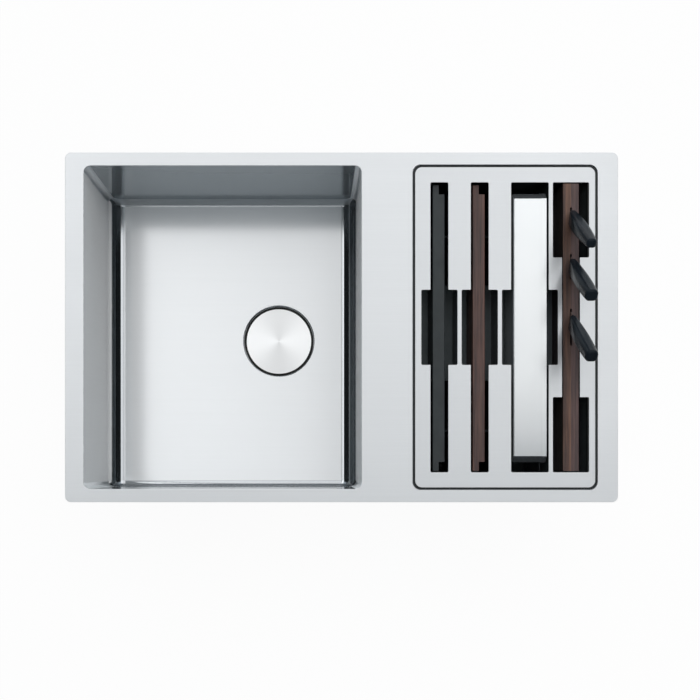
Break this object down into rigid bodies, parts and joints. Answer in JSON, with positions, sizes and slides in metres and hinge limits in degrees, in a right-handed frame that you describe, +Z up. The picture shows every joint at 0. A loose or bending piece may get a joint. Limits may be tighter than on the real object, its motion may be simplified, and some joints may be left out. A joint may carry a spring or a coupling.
{
  "type": "workstation kitchen sink",
  "caption": "Inset stainless steel sink with a deep square bowl and a covered bowl whose lift-out holder stores boards, a colander and a knife block.",
  "frame": {"origin": "middle of the deck, on the plane where the rim seal lies on the worktop", "axes": "+X to the right along the deck, main bowl at -X; +Y to the back; +Z up"},
  "size_m": [0.816, 0.516, 0.4213],
  "materials": {
    "deck_steel": "fine straight brushed satin",
    "panel_steel": "fine straight brushed satin",
    "bowl_steel": "satin drawn sheet",
    "cover_steel": "turned in fine circles",
    "waste_steel": "polished pressed sheet",
    "colander_steel": "satin pressed sheet",
    "blade_steel": "fine ground blade",
    "clip_steel": "zinc plated",
    "black_composite": "dense black board, fine tooth",
    "walnut": "oiled walnut",
    "walnut_left_leaf": "oiled walnut, brown",
    "walnut_right_leaf": "oiled walnut, greyer",
    "dowel_wood": "plain beech",
    "handle_black": "smooth black moulding",
    "tray_plastic": "fine grained black moulding",
    "waste_plastic": "black moulded pipe fitting",
    "seal_rubber": "soft black seal",
    "pad_rubber": "grey damping pad"
  },
  "bodies": {
    "sink": {"deck_plate": "deck_steel", "rim_seal": "seal_rubber", "main_bowl": "bowl_steel", "accessory_bowl": "bowl_steel", "bowl_sound_pad": "pad_rubber", "box_sound_pads": "pad_rubber", "clip_studs": "clip_steel", "clip_brackets": "clip_steel", "clip_nuts": "clip_steel", "waste_top_seal": "seal_rubber", "waste_flange": "waste_steel", "waste_clamp_seal": "seal_rubber", "waste_body": "waste_plastic", "waste_screw": "clip_steel", "box_waste_grid": "waste_steel", "box_waste_seal": "seal_rubber", "box_waste_body": "waste_plastic", "box_waste_screw": "clip_steel"},
    "basket": {"strainer_basket": "waste_steel", "basket_knob": "waste_steel"},
    "cover": {"waste_cover": "cover_steel", "cover_feet": "seal_rubber"},
    "holder": {"holder_tray": "tray_plastic", "panel_seal": "seal_rubber", "accessory_panel": "panel_steel"},
    "black_board": {"black_board": "black_composite"},
    "walnut_board": {"walnut_board": "walnut"},
    "colander": {"colander": "colander_steel"},
    "knife_block": {"block_left_leaf": "walnut_left_leaf", "block_right_leaf": "walnut_right_leaf", "block_dowels": "dowel_wood"},
    "paring_knife": {"paring_blade": "blade_steel", "paring_handle": "handle_black"},
    "utility_knife": {"utility_blade": "blade_steel", "utility_handle": "handle_black"},
    "chef_knife": {"chef_blade": "blade_steel", "chef_handle": "handle_black"}
  },
  "joints": [
    {"name": "basket_lift", "type": "slide", "parent": "sink", "child": "basket", "axis": [0, 0, 1], "range_m": [0, 0.26]},
    {"name": "cover_lift", "type": "slide", "parent": "basket", "child": "cover", "axis": [0, 0, 1], "range_m": [0, 0.24]},
    {"name": "holder_lift", "type": "slide", "parent": "sink", "child": "holder", "axis": [0, 0, 1], "range_m": [0, 0.22]},
    {"name": "black_board_lift", "type": "slide", "parent": "holder", "child": "black_board", "axis": [0, 0, 1], "range_m": [0, 0.2]},
    {"name": "walnut_board_lift", "type": "slide", "parent": "holder", "child": "walnut_board", "axis": [0, 0, 1], "range_m": [0, 0.2]},
    {"name": "colander_lift", "type": "slide", "parent": "holder", "child": "colander", "axis": [0, 0, 1], "range_m": [0, 0.2]},
    {"name": "knife_block_lift", "type": "slide", "parent": "holder", "child": "knife_block", "axis": [0, 0, 1], "range_m": [0, 0.2]},
    {"name": "paring_knife_draw", "type": "slide", "parent": "knife_block", "child": "paring_knife", "axis": [0, -0.5, 0.866], "range_m": [0, 0.09]},
    {"name": "utility_knife_draw", "type": "slide", "parent": "knife_block", "child": "utility_knife", "axis": [0, -0.5, 0.866], "range_m": [0, 0.15]},
    {"name": "chef_knife_draw", "type": "slide", "parent": "knife_block", "child": "chef_knife", "axis": [0, -0.5, 0.866], "range_m": [0, 0.2]}
  ]
}
